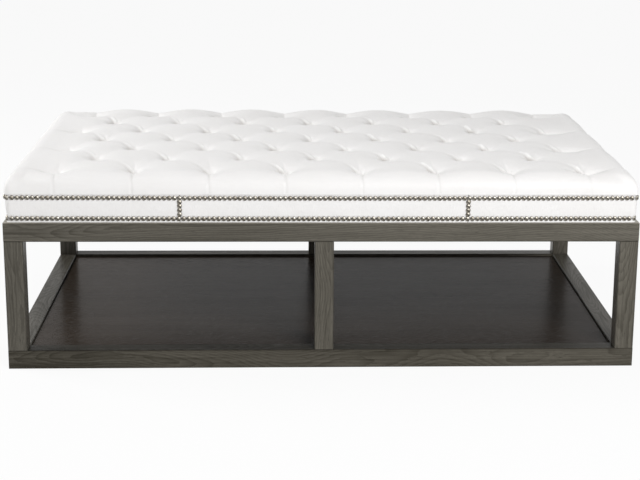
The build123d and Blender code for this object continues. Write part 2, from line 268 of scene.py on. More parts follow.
def wood_grain():
    """Sawn wood round a wandering pith, its grain along X: growth rings, streaks and pores."""
    inputs = {"Vector": (0, 0, 0), "Board": 0.0, "Ring gap": 0.0055, "Drift": 0.0}
    tree, given, end = new_group("wood_grain", inputs, ("Tone", "Pores", "Height"))
    calc, noise, remap = tree.calc, tree.noise, tree.remap
    start = tree.node("CombineXYZ", {0: calc(given["Board"], "*", 3.71)}).outputs[0]
    place = tree.vectors(given["Vector"], "+", start)
    parts = tree.split(place)
    pith = []
    for axis, (far, offset) in enumerate(((0.20, 0.012), (0.26, -0.008))):
        line = {0: parts[0], 1: calc(given["Board"], "+", 7.0 * axis)}
        wander = noise(tree.node("CombineXYZ", line).outputs[0], 1.25, 2.0)
        moved = calc(calc(wander, "-", 0.5), "*", far)
        pith.append(calc(calc(parts[axis + 1], "+", moved), "+", offset))
    ripple = calc(noise(place, (14.0, 60.0, 60.0), 3.0, 0.6), "-", 0.5)
    squares = [calc(side, "*", side) for side in pith]
    radius = calc(calc(squares[0], "+", squares[1]), "SQRT")
    radius = calc(radius, "+", calc(ripple, "*", 0.008))
    ring = calc(calc(radius, "/", given["Ring gap"]), "FRACT")
    late = calc(calc(ring, "POWER", 1.8), "*", remap(ring, 0.88, 1.0, 1.0, 0.0))
    fine = noise(place, (4.0, 330.0, 330.0), 3.0, 0.6)
    streak = noise(place, (2.0, 90.0, 90.0), 3.0, 0.6)
    broad = noise(place, (2.4, 12.0, 12.0), 2.0)
    tone = calc(late, "*", 0.55)
    for grain, share in ((fine, 0.30), (streak, 0.28), (broad, 0.26)):
        tone = calc(tone, "+", calc(remap(grain, 0.32, 0.68), "*", share))
    along = tree.split(given["Vector"])[0]
    drift = calc(calc(along, "*", given["Drift"]), "+", 0.06)
    tone = calc(tone, "-", drift, use_clamp=True)
    dashes = noise(place, (45.0, 1100.0, 1100.0), 2.0, 0.6)
    pores = calc(remap(dashes, 0.56, 0.66), "*", remap(ring, 0.05, 0.5, 1.0, 0.4))
    height = calc(calc(tone, "*", -0.3), "-", pores)
    tree.join(end, {"Tone": tone, "Pores": pores, "Height": height})


def board_edges():
    """The arrises and the ends of a board of given half sizes, about its own middle."""
    inputs = {"Vector": (0, 0, 0), "Half": (1, 1, 1)}
    tree, given, end = new_group("board_edges", inputs, ("Arris", "Rubbed", "End"))
    away = tree.vectors(given["Vector"], "ABSOLUTE")
    sides = tree.split(tree.vectors(given["Half"], "-", away))
    near, tight = (
        [tree.remap(side, 0.0, width, 1.0, 0.0) for side in sides] for width in (0.0032, 0.0016)
    )
    patches = tree.remap(tree.noise(given["Vector"], 30.0, 4.0, 0.6), 0.52, 0.66)
    rubbed = tree.calc(tree.calc(tight[1], "*", tight[2]), "*", patches)
    arris = tree.calc(near[1], "*", near[2])
    tree.join(end, {"Arris": arris, "Rubbed": rubbed, "End": tight[0]})


def hide_grain():
    """Leather: pebbles with creases between them, fine pores and slow changes of tone."""
    inputs = {"Vector": (0, 0, 0), "Pebble": 0.0014}
    tree, given, end = new_group("hide_grain", inputs, ("Height", "Tone"))
    where, calc, noise = given["Vector"], tree.calc, tree.noise
    per_metre = calc(1.0, "/", given["Pebble"])
    warp = tree.vectors(noise(where, 160.0, 2.0, output=1), "*", (0.0016, 0.0016, 0.0016))
    place = {"Vector": tree.vectors(where, "+", warp), "Scale": per_metre}
    cells = tree.node("TexVoronoi", place, feature="DISTANCE_TO_EDGE").outputs[0]
    pebbles = tree.remap(cells, 0.0, 0.16)
    pores = noise(where, 2600.0, 1.0)
    slow = noise(where, 7.0, 3.0)
    creases = noise(tree.vectors(where, "*", (1.0, 1.3, 1.0)), 90.0, 3.0, 0.6)
    height = calc(calc(pebbles, "*", 0.55), "+", calc(pores, "*", 0.15))
    height = calc(height, "+", calc(creases, "*", 0.9))
    tone = calc(calc(slow, "*", 0.6), "+", calc(pebbles, "*", 0.4))
    tree.join(end, {"Height": height, "Tone": tone})


def cloth_weave():
    """A plain weave seen on the XY plane: over and under threads."""
    inputs = {"Vector": (0, 0, 0), "Threads": 900.0}
    tree, given, end = new_group("cloth_weave", inputs, ("Height", "Fibres"))
    turns = [tree.calc(side, "*", given["Threads"]) for side in tree.split(given["Vector"])[:2]]
    waves = [tree.calc(tree.calc(turn, "*", pi), "SINE") for turn in turns]
    weave = tree.calc(waves[0], "*", waves[1])
    tree.join(end, {"Height": weave, "Fibres": tree.noise(given["Vector"], 800.0, 4.0, 0.7)})


def new_material(name, roughness, **sockets):
    """A material with one Principled shader, and its tree, shader and object coordinates."""
    made = bpy.data.materials.new(name)
    made.use_nodes = True
    made.node_tree.nodes.clear()
    tree = Tree(made.node_tree)
    inputs = {key.replace("_", " "): value for key, value in sockets.items()}
    shader = tree.node("BsdfPrincipled", {"Roughness": roughness, **inputs})
    tree.node("OutputMaterial", {0: shader.outputs[0]})
    return made, tree, shader, tree.node("TexCoord").outputs["Object"]


def scaled(colour, *shares):
    """A colour with its parts scaled, all by one share or each by its own."""
    return [part * share for part, share in zip(colour, shares * 3)]


def long_axis(box):
    """The axis of the longest side of a box."""
    size = box[1] - box[0]
    return "XYZ"[max(range(3), key=lambda axis: size[axis])]


# How a board whose grain runs along an axis is turned to the grain's X, and its sizes with it
GRAIN_TURNS = {
    "X": ((0, 0, 0), (0, 1, 2)),
    "Y": ((0, 0, -pi / 2), (1, 0, 2)),
    "Z": ((0, pi / 2, 0), (2, 1, 0)),
}


def wood_material(
    name, board, colours, roughness, box, along, gap=0.0055, drift=0.0, crown=1.0, **more
):
    """Wood with its grain along an axis, darker at its arrises and ends, the ends also as painted
    shade where a board meets another, and rubbed in places.

    The top face light says how much painted light its upper face gets, beside the others: above 1 a
    painted reflection, under 1 painted shade.
    """
    light, dark, pores = colours
    middle, half = (box[0] + box[1]) / 2, (box[1] - box[0]) / 2
    made, tree, shader, where = new_material(name, roughness, **more)
    local = tree.vectors(where, "-", middle)
    turn, order = GRAIN_TURNS[along]
    turned = tree.node("Mapping", {"Vector": local, "Rotation": turn}).outputs[0]
    inputs = {"Vector": turned, "Board": board, "Ring gap": gap, "Drift": drift}
    grain = tree.group(wood_grain, inputs)
    edges = tree.group(board_edges, {"Vector": turned, "Half": [half[i] for i in order]})
    colour = tree.blend(grain["Tone"], light, dark)
    colour = tree.blend(tree.calc(grain["Pores"], "*", 0.7), colour, pores)
    # Darker arrises, and darker ends that are painted shade where boards meet
    edge_stain_and_end_shade = tree.calc(edges["Arris"], "MAXIMUM", tree.calc(edges["End"], "*", 0.45))
    colour = tree.blend(tree.calc(edge_stain_and_end_shade, "*", 0.7), colour, pores)
    colour = tree.blend(tree.calc(edges["Rubbed"], "*", 0.6), colour, scaled(light, 1.3))
    # Painted light on the upper face: lighter as a painted reflection, darker as painted shade
    if crown != 1:
        upper = tree.remap(tree.split(local)[2], half[2] - 0.0010, half[2] - 0.0004)
        target = scaled(pores, 0.2) if crown < 1 else scaled(light, 2.2)
        colour = tree.blend(upper, colour, tree.blend(abs(1 - crown), colour, target))
    matt = tree.remap(grain["Tone"], 0.0, 1.0, roughness - 0.04, roughness + 0.08)
    tree.finish(shader, colour, grain["Height"], 0.00015, matt)
    return made


def leather_material(name, tufted=False):
    """White finished hide, with painted highlights on the rims of its folds and painted shade in
    its pleats and hollows, where the attributes of tufting mark them.
    """
    looks = bpy.context.scene.ottoman_leather
    made, tree, shader, where = new_material(
        name, looks.sheen, Coat_Weight=0.06, Coat_Roughness=0.30, Specular_IOR_Level=0.35
    )
    grain = tree.group(hide_grain, {"Vector": where, "Pebble": looks.pebble})
    shade = scaled(looks.colour, 0.965, 0.960, 0.950)
    colour = tree.blend(tree.remap(grain["Tone"], 0.35, 0.75), shade, looks.colour)
    if tufted:
        # Painted highlight where the stretch attribute marks the rims of the folds, and painted
        # shade where the pleat attribute marks creases and hollows
        painted_shade_tone = scaled(looks.colour, 0.52, 0.50, 0.47)
        for fold, share, tint in (("stretch", 0.9, (0.99, 0.985, 0.98)), ("pleat", 0.8, painted_shade_tone)):
            there = tree.calc(tree.attribute(fold), "*", share, use_clamp=True)
            colour = tree.blend(there, colour, tint)
    matt = tree.remap(grain["Tone"], 0.3, 0.8, looks.sheen + 0.06, looks.sheen - 0.05)
    tree.finish(shader, colour, grain["Height"], 0.00022, matt)
    return made


def metal_material(name, bright, dark_metal, roughness, grime, dome_shade_painted=False):
    """Metal with a patina in patches, and painted shade where an attribute marks it: dark bands
    that stand in for the shading and reflections of a domed head.
    """
    made, tree, shader, where = new_material(name, roughness, Metallic=1.0)
    patches = tree.noise(where, 95.0, 4.0, 0.6)
    fine = tree.noise(where, 900.0, 2.0)
    colour = tree.blend(tree.remap(patches, 0.35, 0.68), bright, dark_metal)
    # Painted shade and reflection on the nail heads, where the attribute marks them
    if dome_shade_painted:
        colour = tree.blend(tree.attribute("painted_dome_shade"), colour, scaled(dark_metal, 0.10))
    matt = tree.remap(patches, 0.3, 0.7, roughness - grime, roughness + grime)
    tree.finish(shader, colour, fine, 0.00005, matt)
    return made


def cloth_material(name, colour, threads, roughness):
    """Woven cloth."""
    made, tree, shader, where = new_material(name, roughness, Sheen_Weight=0.15)
    weave = tree.group(cloth_weave, {"Vector": where, "Threads": threads})
    mixed = tree.blend(tree.remap(weave["Fibres"], 0.3, 0.7), colour, scaled(colour, 0.6))
    tree.finish(shader, mixed, weave["Height"], 0.00012)
    return made


def plain_grain_material(name, colour, roughness, scale, depth):
    """Foam and plastic: a fine even grain."""
    made, tree, shader, where = new_material(name, roughness)
    grain = tree.noise(where, scale, 4.0, 0.65)
    mixed = tree.blend(tree.remap(grain, 0.35, 0.65), scaled(colour, 0.72), colour)
    tree.finish(shader, mixed, grain, depth)
    return made


# Shared helpers for pieces


def dress(node_name, material):
    """A CAD node keeps its shape and gets a finished material."""
    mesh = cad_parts[node_name].data
    mesh.materials.clear()
    mesh.materials.append(material)


def finish_piece(piece, name, material, replaced=()):
    """Names a new piece, gives it its material, and puts it on the table."""
    piece.name = name
    piece.data.name = name
    piece.data.materials.clear()
    piece.data.materials.append(material)
    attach(piece, "root")
    if replaced:
        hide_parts(*replaced)
    return piece


def added(operator, **settings):
    """What an operator adds, with nothing else selected."""
    bpy.ops.object.select_all(action="DESELECT")
    operator(**settings)
    return bpy.context.active_object


def place_corners(mesh, places):
    """Moves the corners of a mesh."""
    mesh.vertices.foreach_set("co", places.reshape(-1).astype(np.float32))
    mesh.update()


def shaped_grid(places):
    """A grid of quads whose corners stand at the given places, rows by columns by 3."""
    rows, columns = places.shape[:2]
    piece = added(
        bpy.ops.mesh.primitive_grid_add, x_subdivisions=columns - 1, y_subdivisions=rows - 1, size=2
    )
    place_corners(piece.data, places)
    return piece


def copies_piece(name, copies, faces):
    """A new piece, made active: copies of one shape, of which each has its own corners."""
    count = len(copies[0])
    every = [[n * count + i for i in face] for n in range(len(copies)) for face in faces]
    mesh = bpy.data.meshes.new(name)
    mesh.from_pydata(np.concatenate(copies).tolist(), [], every)
    piece = bpy.data.objects.new(name, mesh)
    bpy.context.scene.collection.objects.link(piece)
    bpy.ops.object.select_all(action="DESELECT")
    piece.select_set(True)
    bpy.context.view_layer.objects.active = piece
    return piece


def thicken(piece, thickness, offset):
    """Gives the active piece a thickness and crisp edges."""
    bpy.ops.object.modifier_add(type="SOLIDIFY")
    solidify = piece.modifiers[-1]
    solidify.thickness, solidify.offset = thickness, offset
    bpy.ops.object.modifier_apply(modifier=solidify.name)
    bpy.ops.object.shade_smooth_by_angle(angle=radians(40))


def close_piece(merge=0.0):
    """Fills the holes of the active piece and turns its faces outward, its corners merged first."""
    bpy.ops.object.mode_set(mode="EDIT")
    bpy.ops.mesh.select_all(action="SELECT")
    if merge:
        bpy.ops.mesh.remove_doubles(threshold=merge)
        bpy.ops.mesh.select_all(action="SELECT")
    bpy.ops.mesh.fill_holes(sides=0)
    bpy.ops.mesh.select_all(action="SELECT")
    bpy.ops.mesh.normals_make_consistent(inside=False)
    bpy.ops.object.mode_set(mode="OBJECT")


def rows_of(items, key="co"):
    """One vector of each item, as rows of three."""
    found = np.empty(len(items) * 3, np.float32)
    items.foreach_get(key, found)
    return found.reshape(-1, 3).astype(float)


def mark(mesh, name, values):
    """Writes a value at each corner of a mesh."""
    marks = mesh.attributes.new(name, "FLOAT", "POINT")
    marks.data.foreach_set("value", values.astype(np.float32))


def eased(value, low, high):
    """A smooth step from 0 at low to 1 at high."""
    share = np.clip((value - low) / (high - low), 0, 1)
    return share * share * (3 - 2 * share)


def smooth_noise(x, y, size, seed):
    """Slow random waves over a plane, about one unit high, of a given size."""
    source = np.random.default_rng(seed)
    total = np.zeros_like(x)
    for _ in range(9):
        angle, phase, stretch = source.uniform(0, 2 * pi, 3)
        wave = 2 * pi / (size * (0.6 + stretch / (2 * pi)))
        total += np.sin(wave * (x * cos(angle) + y * sin(angle)) + phase)
    return total / 4.5


def bell(distance, width):
    """1 at no distance, falling to 0 over a width."""
    return np.exp(-((distance / width) ** 2))


# Painted light on the upper faces of the rails, beside their fronts: above 1 a painted reflection
# makes them lighter, under 1 painted shade makes them darker
TOP_RAIL_TOP_LIGHT = 1.9
BOTTOM_RAIL_TOP_LIGHTS = {
    "bottom_rail_front": 0.40,
    "bottom_rail_back": 0.62,
    "bottom_rail_left": 0.95,
    "bottom_rail_right": 0.82,
}


class OTTOMAN_OT_oak_frame(bpy.types.Operator):
    """Finish the rails and legs in stained oak"""

    bl_idname = "ottoman.oak_frame"
    bl_label = "Oak frame"

    def execute(self, context):
        looks = context.scene.ottoman_oak
        shelf_rail_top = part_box("bottom_rail_front")[1].z
        top_rail_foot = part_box("top_rail_front")[0].z
        board = 0
        for name in sorted(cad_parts):
            if not name.startswith(("top_rail", "bottom_rail", "leg_")):
                continue
            board += 1
            low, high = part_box(name)
            # The boxes of the legs and side rails end where they meet other boards, so their darker
            # ends fall there as painted shade
            if name.startswith("leg_"):
                low.z, high.z = shelf_rail_top, top_rail_foot
            elif name.endswith(("left", "right")):
                low.y, high.y = STOCK - HALF_Y, HALF_Y - STOCK
            along = long_axis((low, high))
            # Each board's tone differs a little. The bottom rails get painted shade, and the boards
            # grow lighter towards the right, with the drift along the long rails, as a painted
            # reflection of the front lamp
            shade = 1.0 + 0.04 * sin(2.4 * board) - 0.13 * name.startswith("bottom_rail")
            shade += 0.14 * ((low + high) / 2).x / HALF_X * (along != "X")
            crown = BOTTOM_RAIL_TOP_LIGHTS.get(name, 1.0)
            if name.startswith("top_rail"):
                crown = TOP_RAIL_TOP_LIGHT
            colours = [scaled(tone, shade) for tone in (looks.light, looks.dark, looks.pores)]
            face = {
                "drift": 0.26 if along == "X" else 0.0,
                "crown": crown,
                "Specular_IOR_Level": 0.22 if crown >= 1 else 0.08 * crown,
            }
            grain = (float(board), colours, 0.34, (low, high), along)
            dress(name, wood_material(f"oak_{name}", *grain, **face))
        return {"FINISHED"}


class OTTOMAN_OT_shelf(bpy.types.Operator):
    """Finish the shelf panel in dark polished veneer"""

    bl_idname = "ottoman.shelf"
    bl_label = "Shelf"

    def execute(self, context):
        base = context.scene.ottoman_oak.shelf
        colours = [scaled(base, share) for share in (1.25, 0.75, 0.5)]
        grain = (31.0, colours, 0.17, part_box("shelf_panel"), "X")
        # The drift makes the shelf darker towards the right: painted shade
        looks = {"gap": 0.009, "drift": -0.40, "Specular_IOR_Level": 0.017}
        dress("shelf_panel", wood_material("shelf_veneer", *grain, **looks))
        return {"FINISHED"}


class OTTOMAN_OT_inner_parts(bpy.types.Operator):
    """Finish the softwood, plywood, washers and screws inside"""

    bl_idname = "ottoman.inner_parts"
    bl_label = "Inner parts"

    def execute(self, context):
        pine = ((0.50, 0.34, 0.18), (0.38, 0.23, 0.11), (0.25, 0.14, 0.06))
        birch = ((0.55, 0.42, 0.27), (0.43, 0.31, 0.19), (0.30, 0.20, 0.11))
        boards = "top_cross_rail frame_corner_blocks shelf_bearer shelf_cleats".split()
        boards += [f"seat_rail_{side}" for side in ("front", "back", "left", "right")]
        boards += "seat_bearer_front seat_bearer_back seat_corner_posts deck_panel".split()
        for board, name in enumerate(boards):
            along = "Z" if name == "seat_corner_posts" else long_axis(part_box(name))
            colours = birch if name == "deck_panel" else pine
            grain = (40.0 + board, colours, 0.6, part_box(name), along)
            dress(name, wood_material(f"{name}_wood", *grain))
        nylon = plain_grain_material("nylon_washer", (0.75, 0.74, 0.70), 0.45, 700.0, 0.00004)
        dress("tuft_washers", nylon)
        zinc = metal_material("zinc_screw", (0.62, 0.63, 0.64), (0.40, 0.41, 0.42), 0.35, 0.08)
        dress("platform_screws", zinc)
        return {"FINISHED"}


class OTTOMAN_OT_dust_cover(bpy.types.Operator):
    """Make the dust cover that is stapled under the platform"""

    bl_idname = "ottoman.dust_cover"
    bl_label = "Dust cover"

    def execute(self, context):
        low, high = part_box("dust_cover")
        across = np.linspace(low.x, high.x, 125)
        along = np.linspace(low.y, high.y, 79)
        x, y = np.meshgrid(across, along)
        middle = (low.z + high.z) / 2
        inner = np.minimum(HALF_X - STOCK - np.abs(x), HALF_Y - STOCK - np.abs(y))
        hang = eased(inner, 0.002, 0.20) * 0.005 * (1 + 0.25 * smooth_noise(x, y, 0.25, 5))
        hang = np.where(np.abs(x) < STOCK, 0.25, 1.0) * hang * eased(np.abs(x), 0.01, 0.08)
        piece = shaped_grid(np.stack([x, y, np.full_like(x, middle) - hang], axis=-1))
        thicken(piece, 0.6 * MM, 0)
        cloth = cloth_material("black_cambric", (0.020, 0.020, 0.021), 900.0, 0.9)
        finish_piece(piece, "dust_cover_cloth", cloth, ["dust_cover"])
        return {"FINISHED"}


# Leather band

BAND_STEP = 4 * MM
BAND_LINING = 0.0127
BAND_SEAM = 0.0003
FACE_AT_FOOT = 0.010
FACE_AT_TOP = 0.0055


def ring_path(inset):
    """A rounded rectangle round the table at an inset: points, outward directions and lengths."""
    half_x, half_y = HALF_X - inset - RING_CORNER, HALF_Y - inset - RING_CORNER
    points, outward = [], []
    for x, y, start in (
        (half_x, -half_y, -pi / 2),
        (half_x, half_y, 0),
        (-half_x, half_y, pi / 2),
        (-half_x, -half_y, pi),
    ):
        for turn in np.linspace(0, pi / 2, 7):
            way = (cos(start + turn), sin(start + turn))
            points.append((x + RING_CORNER * way[0], y + RING_CORNER * way[1]))
            outward.append(way)
    points.append(points[0])
    outward.append(outward[0])
    points, outward = np.array(points), np.array(outward)
    lengths = np.concatenate([[0], np.cumsum(np.hypot(*np.diff(points, axis=0).T))])
    return points, outward, lengths


def along_ring(inset, distances):
    """Points and outward directions at distances round the ring, from the front right corner."""
    points, outward, lengths = ring_path(inset)
    found = [np.interp(distances, lengths, column) for column in (*points.T, *outward.T)]
    ways = np.stack(found[2:], axis=-1)
    return np.stack(found[:2], axis=-1), ways / np.linalg.norm(ways, axis=-1, keepdims=True)


def band_inset(z):
    """How far the band's face stands in from the table's edge at a height."""
    share = (z - BAND_FOOT) / (BAND_TOP - BAND_FOOT)
    return FACE_AT_FOOT + (FACE_AT_TOP - FACE_AT_FOOT) * share


def by_nails(z, width):
    """1 at the height of either row of nails, falling to 0 over a width."""
    nails = bpy.context.scene.ottoman_nails
    return bell(z - nails.lower, width) + bell(z - nails.upper, width)


def band_bulge(z):
    """How far the stuffed band swells between its two rows of nails."""
    nails = bpy.context.scene.ottoman_nails
    middle = (z - nails.lower) / (nails.upper - nails.lower)
    swell = np.where((middle > 0) & (middle < 1), np.sin(pi * np.clip(middle, 0, 1)) ** 0.6, 0)
    return 0.0012 * swell - 0.0006 * by_nails(z, 0.0035)


def band_panel(start, end, total):
    """Places on a panel between two distances round the ring: its face, edges and back."""
    count = max(int(round((end - start) / BAND_STEP)), 8)
    ends = np.array([0, 0.001, 0.0025])
    inner = np.linspace(start + 0.005, end - 0.005, count)
    distances = np.concatenate([start + ends, inner, end - ends[::-1]])
    tuck = np.minimum(distances - start, end - distances)
    turned = 0.0018 * (1 - np.sqrt(np.clip(1 - (1 - np.clip(tuck / 0.004, 0, 1)) ** 2, 0, 1)))
    pull = 0.0005 * np.cos(2 * pi * distances / bpy.context.scene.ottoman_nails.pitch)
    points, ways = along_ring(RING_INSET, distances % total)

    def row(out, z):
        return np.column_stack([points + ways * out, np.full(len(points), z)])

    inner = np.linspace(BAND_FOOT + 0.0010, BAND_TOP - 0.0010, 22)
    heights = np.concatenate([[BAND_FOOT], inner, [BAND_TOP]])
    rows = []
    for z in heights:
        slack = 0.0003 * smooth_noise(distances, np.full_like(distances, z), 0.05, 11)
        edge = 0.0002 * (z == heights[0]) + 0.0008 * (z == heights[-1])
        flare = 0.0030 * np.exp(-(z - BAND_FOOT) / 0.0022)
        out = RING_INSET - band_inset(z) + band_bulge(z) + pull * by_nails(z, 0.006)
        out = out + slack + flare - turned - edge
        rows.append(row(out[:, None], z))
    rows += [row(RING_INSET - BAND_LINING, z) for z in (BAND_TOP, BAND_FOOT)]
    rows.append(rows[0])
    return np.array(rows)[:, ::-1]


class OTTOMAN_OT_band(bpy.types.Operator):
    """Make the padded leather band in four panels"""

    bl_idname = "ottoman.band"
    bl_label = "Leather band"

    def execute(self, context):
        leather = leather_material("band_leather")
        total = ring_path(RING_INSET)[2][-1]
        front = total - (HALF_X - RING_INSET - RING_CORNER)
        back = front - total / 2
        spans = {
            "front": (front - SEAM_X, front + SEAM_X),
            "right": (front + SEAM_X - total, back - SEAM_X),
            "back": (back - SEAM_X, back + SEAM_X),
            "left": (back + SEAM_X, front - SEAM_X),
        }
        for side, (start, end) in spans.items():
            piece = shaped_grid(band_panel(start + BAND_SEAM, end - BAND_SEAM, total))
            close_piece(merge=1e-6)
            bpy.ops.object.shade_smooth_by_angle(angle=radians(50))
            finish_piece(piece, f"band_{side}_leather", leather, [f"band_{side}"])
        return {"FINISHED"}


# Tufted cover

ROW_SHIFT = (0.0, -0.016, -0.023, -0.025, -0.025, -0.022, -0.005)
ROLL = 0.048
SIDE_INSET = 0.004
WAIST_INSET = 0.0035
CELLS = 14
FLAT_X = HALF_X - SIDE_INSET - ROLL
FLAT_Y = HALF_Y - SIDE_INSET - ROLL
ROLL_END = ROLL * pi / 2
FOOT = ROLL_END + CREST - ROLL - LIP
PLEAT_WIDE = 149 * MM
PLEAT_LONG = 157.7 * MM
PIT = 20 * MM
GROOVE = 0.24
POCKET_IN = (0, 0.0010, 0.0054, 0.0064, 0.0074, 0.0286, 0.0296, 0.0296)
POCKET_UP = (0, 0, 0, 0.0050, 0.0053, 0.0053, 0.0060, 0.0275)
FOLD = 0.0036
HOLLOW = 0.0058
PUCKER = 0.0025
FLUTE = 0.0016
MOST_SWELL = 6 * MM
CLOTH = {
    "quality": 6,
    "mass": 0.3,
    "tension_stiffness": 12,
    "compression_stiffness": 12,
    "shear_stiffness": 5,
    "bending_stiffness": 0.6,
    "pin_stiffness": 1.2,
    "use_pressure": True,
    "uniform_pressure_force": 4.0,
}
CLOTH_FRAMES = 20


def lay_out(tuft, pitches, flat_end, margin_cells, roll_cells):
    """Lengths over the cover in one direction, from foot to foot, and on under it."""
    share = np.linspace(0, pitches, pitches * CELLS + 1)
    edge_stain_and_end_shade = share - 0.45 * np.sin(2 * pi * share) / (2 * pi)
    inner = -tuft + edge_stain_and_end_shade * 2 * tuft / pitches
    flat = np.linspace(tuft, flat_end, margin_cells + 1)[1:]
    roll = flat_end + np.linspace(0, ROLL_END, roll_cells + 1)[1:]
    under = flat_end + FOOT - np.array([0.0052, 0.0010, 0.0])
    inside = flat_end + FOOT + np.arange(1, 8) * MM
    outer = np.concatenate([flat, roll, under, inside])
    return np.concatenate([-outer[::-1], inner, outer])


def lattice(u, v):
    """Where a place lies in its diamond: whole numbers are on the pleats."""
    across = (u + TUFT_X) / (PITCH_X / 2)
    up = (v + TUFT_Y) / PITCH_Y
    return (across + up) / 2, (across - up) / 2


def hump(value):
    """0 at each whole number and 1 half way between."""
    share = value - np.floor(value)
    return 4 * share * (1 - share)


def diamond(first, second):
    """Height of the hide above its tufts: a pit at each tuft, and pleats that fade between them."""
    sizes = bpy.context.scene.ottoman_leather
    one, two = first - np.round(first), second - np.round(second)
    ahead = (one - two) * PITCH_Y
    away = np.sqrt(((one + two) * PITCH_X / 2) ** 2 + ahead**2 + 0.004**2)
    reach = PIT * np.exp(-0.55 * ahead / away)
    open_one = 1 - GROOVE * groove(one * PLEAT_WIDE, two * PLEAT_LONG)
    open_two = 1 - GROOVE * groove(two * PLEAT_WIDE, one * PLEAT_LONG)
    rise = (1 - np.exp(-away / reach)) * open_one * open_two
    return sizes.pleat * rise + sizes.puff * hump(first) * hump(second)


def groove(across, along):
    """A pleat that is narrow at its tuft and wide and shallow away from it."""
    wide = 0.008 + 0.25 * np.abs(along)
    return np.exp(-np.sqrt(across**2 + 0.0015**2) / wide - np.abs(along) / 0.032)


def cover_height(u, v):
    """Height of the tufted hide above its tufts over the top and the roll."""
    sizes = bpy.context.scene.ottoman_leather
    total = sizes.pleat + sizes.puff
    first, second = lattice(u, v)
    inner = diamond(first, second)
    past_x = np.maximum(np.abs(u) - TUFT_X, 0)
    past_y = np.maximum(np.abs(v) - TUFT_Y, 0)
    across = (u + TUFT_X) / PITCH_X
    along = (v + TUFT_Y) / (2 * PITCH_Y)
    reach = np.where(v < 0, 0.100, 0.125)

    def arch(first, second, past, reach, wide, least=0.0):
        full = total * (least + (1 - least) * hump(first))
        return edge_height(diamond(first, second) * (1 - wide) + full * wide, past, reach, total)

    front = arch(across, across, past_y, reach, eased(past_y, 0.0, 0.05) * (v > 0))
    side = arch(along, -along, past_x, 0.185, eased(past_x, 0.0, 0.055), 0.5)
    away = np.hypot(past_x, past_y)
    near = past_x * past_y / np.maximum(away, 1e-9)
    share = np.minimum(near / PITCH_X, 0.5)
    corner = arch(share, share, away, reach, eased(away, 0.0, 0.05) * (v > 0))
    beside = np.where(past_y > 0, corner, side)
    height = np.where(past_x > 0, beside, np.where(past_y > 0, front, inner))
    past = np.maximum(past_x, past_y)
    fading = 1 - eased(past, 0.06, 0.11)
    low = 0.010 * tuft_pull(u, v)
    low = low + 0.0022 * (1 - height / total) * smooth_noise(u, v, 0.20, 31)
    low = low + 0.0035 * fading + 0.0012 * smooth_noise(u, v, 0.30, 32) * fading
    corner_drop = eased(near, 0.0, 0.06) * (1 - eased(past, 0.07, 0.13))
    low = low + (0.008 + 0.003 * (v > 0)) * corner_drop
    low = low + 0.0030 * eased(-v, 0.28, 0.42) * fading + 0.0010 * eased(v, 0.30, 0.44) * fading
    return height - low


def edge_height(arch, past, reach, total):
    """Height past the outer tufts, where a pleat runs from each tuft over the roll."""
    fading = (1 - eased(past, 0.0, reach)) * (1 - eased(past, 0.10, 0.145))
    return total - (total - arch) * fading


def tuft_pull(u, v):
    """1 at the outer tufts, which are drawn deeper, falling to 0 round them."""
    outer_row = bell(np.abs(v) - TUFT_Y, 0.045)
    outer_column = bell(np.abs(u) - TUFT_X, 0.045)
    at_row = 1 - hump((u + TUFT_X) / PITCH_X) ** 0.5
    at_column = 1 - hump((v + TUFT_Y) / (2 * PITCH_Y)) ** 0.5
    at_row = at_row * (np.abs(u) < TUFT_X + 0.03)
    at_column = at_column * (np.abs(v) < TUFT_Y + 0.03)
    return np.clip(np.maximum(outer_row * at_row, outer_column * at_column), 0, 1)


def cover_surface(u, v, lift):
    """Places on the cover: a flat top, a roll round it, the foot and the pocket for the foam."""
    rows = np.linspace(-TUFT_Y, TUFT_Y, len(ROW_SHIFT))
    inward = 1 - eased(np.abs(u), TUFT_X - PITCH_X, TUFT_X + 0.05)
    lean = np.interp(v, rows, ROW_SHIFT) * (0.35 + 0.65 * inward)
    lean = lean * (1 - eased(np.abs(u), TUFT_X, FLAT_X))
    stray = 1 - eased(np.maximum(np.abs(u) - TUFT_X, np.abs(v) - TUFT_Y), -0.02, 0.03)
    stray_x = 0.0030 * stray * smooth_noise(u, v, 0.16, 21)
    stray_y = 0.0025 * stray * smooth_noise(u, v, 0.16, 22)
    over_x = np.maximum(np.abs(u) - FLAT_X, 0)
    over_y = np.maximum(np.abs(v) - FLAT_Y, 0)
    over = np.maximum(over_x, over_y)
    ratio = np.minimum(over_x, over_y) / np.maximum(over, 1e-9)
    way = np.where(over_x >= over_y, ratio * pi / 4, pi / 2 - ratio * pi / 4)
    turn = np.clip(over / ROLL, 0, pi / 2)
    drop = np.clip(over - ROLL_END, 0, FOOT - ROLL_END)
    inside = np.round(np.maximum(over - FOOT, 0) / MM)
    power = 2 + 9 * (turn / (pi / 2)) ** np.where(v > 0, 4.0, 1.2) + 3 * np.minimum(inside, 4)
    along_x, along_y = np.cos(way), np.sin(way)
    norm = (np.abs(along_x) ** power + np.abs(along_y) ** power) ** (1 / power)
    waist = (WAIST_INSET - SIDE_INSET) * drop / (FOOT - ROLL_END)
    tuck = np.interp(inside, range(8), POCKET_IN)
    out = (ROLL + lift) * np.sin(turn) - waist - tuck
    x = np.minimum(np.abs(u), FLAT_X) + out * along_x / norm * (over > 0)
    y = np.minimum(np.abs(v), FLAT_Y) + out * along_y / norm * (over > 0)
    z = CREST - ROLL + (ROLL + lift) * np.cos(turn) - drop
    z = z + np.interp(inside, range(8), POCKET_UP)
    return np.stack([np.sign(u) * x + lean + stray_x, np.sign(v) * y + stray_y, z], axis=-1)


